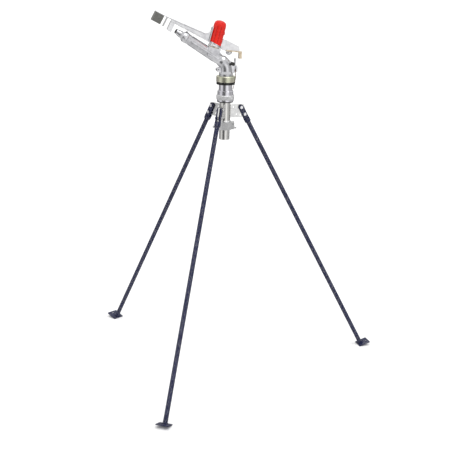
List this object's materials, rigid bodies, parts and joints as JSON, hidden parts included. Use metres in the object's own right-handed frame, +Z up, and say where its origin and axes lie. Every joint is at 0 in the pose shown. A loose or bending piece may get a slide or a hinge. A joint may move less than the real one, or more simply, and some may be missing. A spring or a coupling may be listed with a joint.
{
  "type": "impact sprinkler on tripod",
  "caption": "Tripod-mounted impact rain gun: cast gun with swinging arm and reversing gear on a riser with a quick hose coupler and folding legs.",
  "frame": {"origin": "on the riser's axis, at the lower rim of the hose inlet stub", "axes": "+Z up along the riser, +X to the object's right and -Y toward the viewer when the nozzle points left; the ground is at z = -1.084 m"},
  "size_m": [1.3477, 1.3112, 1.6625],
  "materials": {
    "bearing_steel": "ground",
    "black_rubber": "matte",
    "black_steel": "black oxide",
    "brass": "machined",
    "bright_zinc": "bright zinc plated fasteners",
    "bronze_strip": "dull bronze",
    "cast_aluminium": "polished casting",
    "chrome_plate": "chrome plated",
    "copper_wire": "copper coated wire",
    "galvanised_steel": "galvanised, semi-bright",
    "grey_block": "ribbed dark grey casting",
    "machined_aluminium": "machined",
    "navy_paint": "dark navy gloss paint",
    "olive_zinc": "yellow-olive zinc plating",
    "red_plastic": "glossy red moulding",
    "spring_steel": "oiled spring steel",
    "stainless": "stainless steel",
    "zinc_plate": "zinc plated"
  },
  "bodies": {
    "stand": {"riser_pipe": "galvanised_steel", "hose_stub": "galvanised_steel", "riser_adapter": "machined_aluminium", "coupler_gasket": "black_rubber", "coupler_body": "machined_aluminium", "cam_pins": "stainless", "front_lug_plate": "zinc_plate", "left_lug_plate": "zinc_plate", "right_lug_plate": "zinc_plate", "pivot_bolts": "bright_zinc", "pivot_nuts": "bright_zinc", "union_gasket": "black_rubber", "inlet_sleeve": "chrome_plate", "knurled_ring": "machined_aluminium", "thrust_washers": "brass", "bearing_housing": "olive_zinc", "thrust_bearing": "bearing_steel", "dust_seal": "black_rubber"},
    "gun": {"swivel_shaft": "brass", "gun_body": "cast_aluminium", "stream_straightener": "stainless", "nozzle_nut": "cast_aluminium", "nozzle": "cast_aluminium", "nozzle_insert": "black_rubber", "arm_shaft": "stainless", "pivot_washer": "brass", "spring_seat": "stainless", "shaft_nut": "stainless", "reversing_bracket": "cast_aluminium", "bracket_screws": "stainless", "trip_pin": "stainless", "spring_knob": "black_rubber"},
    "arm": {"impact_arm": "cast_aluminium", "deflector_block": "grey_block", "guide_vane": "cast_aluminium", "drive_vane": "cast_aluminium", "lower_arm_bush": "brass", "upper_arm_bush": "brass", "arm_spring": "spring_steel", "spring_cover": "red_plastic", "striker_boss": "cast_aluminium", "tail_hook": "bronze_strip"},
    "trip_lever": {"reversing_lever": "stainless", "trip_wire": "copper_wire"},
    "lower_stop": {"lower_stop_ring": "black_steel"},
    "upper_stop": {"upper_stop_ring": "black_steel"},
    "left_cam": {"left_cam_lever": "machined_aluminium"},
    "right_cam": {"right_cam_lever": "machined_aluminium"},
    "front_leg": {"front_leg_tube": "navy_paint", "front_leg_fork": "navy_paint", "front_foot_plate": "navy_paint", "front_lock_bolt": "bright_zinc"},
    "left_leg": {"left_leg_tube": "navy_paint", "left_leg_fork": "navy_paint", "left_foot_plate": "navy_paint", "left_lock_bolt": "bright_zinc"},
    "right_leg": {"right_leg_tube": "navy_paint", "right_leg_fork": "navy_paint", "right_foot_plate": "navy_paint", "right_lock_bolt": "bright_zinc"}
  },
  "joints": [
    {"name": "gun_swivel", "type": "hinge", "parent": "stand", "child": "gun", "pos_m": [0, 0, 0.28], "axis": [0, 0, 1], "range_deg": [-280, 12]},
    {"name": "arm_swing", "type": "hinge", "parent": "gun", "child": "arm", "pos_m": [-0.06321, -0.01933, 0.38379], "axis": [0.2459, 0.0752, 0.9664], "range_deg": [0, 70], "stiffness_Nm_per_rad": 1.2, "springref_deg": -20.05},
    {"name": "reversing_throw", "type": "hinge", "parent": "gun", "child": "trip_lever", "pos_m": [0.03825, 0.0117, 0.321], "axis": [-0.9563, -0.2924, 0], "range_deg": [0, 24]},
    {"name": "lower_stop_turn", "type": "hinge", "parent": "stand", "child": "lower_stop", "pos_m": [0, 0, 0.2542], "axis": [0, 0, 1], "range_deg": [-15, 10]},
    {"name": "upper_stop_turn", "type": "hinge", "parent": "stand", "child": "upper_stop", "pos_m": [0, 0, 0.2597], "axis": [0, 0, 1], "range_deg": [-8, 262]},
    {"name": "left_cam_lift", "type": "hinge", "parent": "stand", "child": "left_cam", "pos_m": [-0.038, 0, 0.072], "axis": [0, 1, 0], "range_deg": [0, 95]},
    {"name": "right_cam_lift", "type": "hinge", "parent": "stand", "child": "right_cam", "pos_m": [0.038, 0, 0.072], "axis": [0, -1, 0], "range_deg": [0, 95]},
    {"name": "front_leg_fold", "type": "hinge", "parent": "stand", "child": "front_leg", "pos_m": [-0.02203, -0.07117, 0.145], "axis": [0.9553, -0.2957, 0], "range_deg": [0, 28.7]},
    {"name": "left_leg_fold", "type": "hinge", "parent": "stand", "child": "left_leg", "pos_m": [-0.05449, 0.05081, 0.145], "axis": [-0.682, -0.7314, 0], "range_deg": [0, 28.7]},
    {"name": "right_leg_fold", "type": "hinge", "parent": "stand", "child": "right_leg", "pos_m": [0.07109, 0.02228, 0.145], "axis": [-0.299, 0.9542, 0], "range_deg": [0, 28.7]}
  ]
}
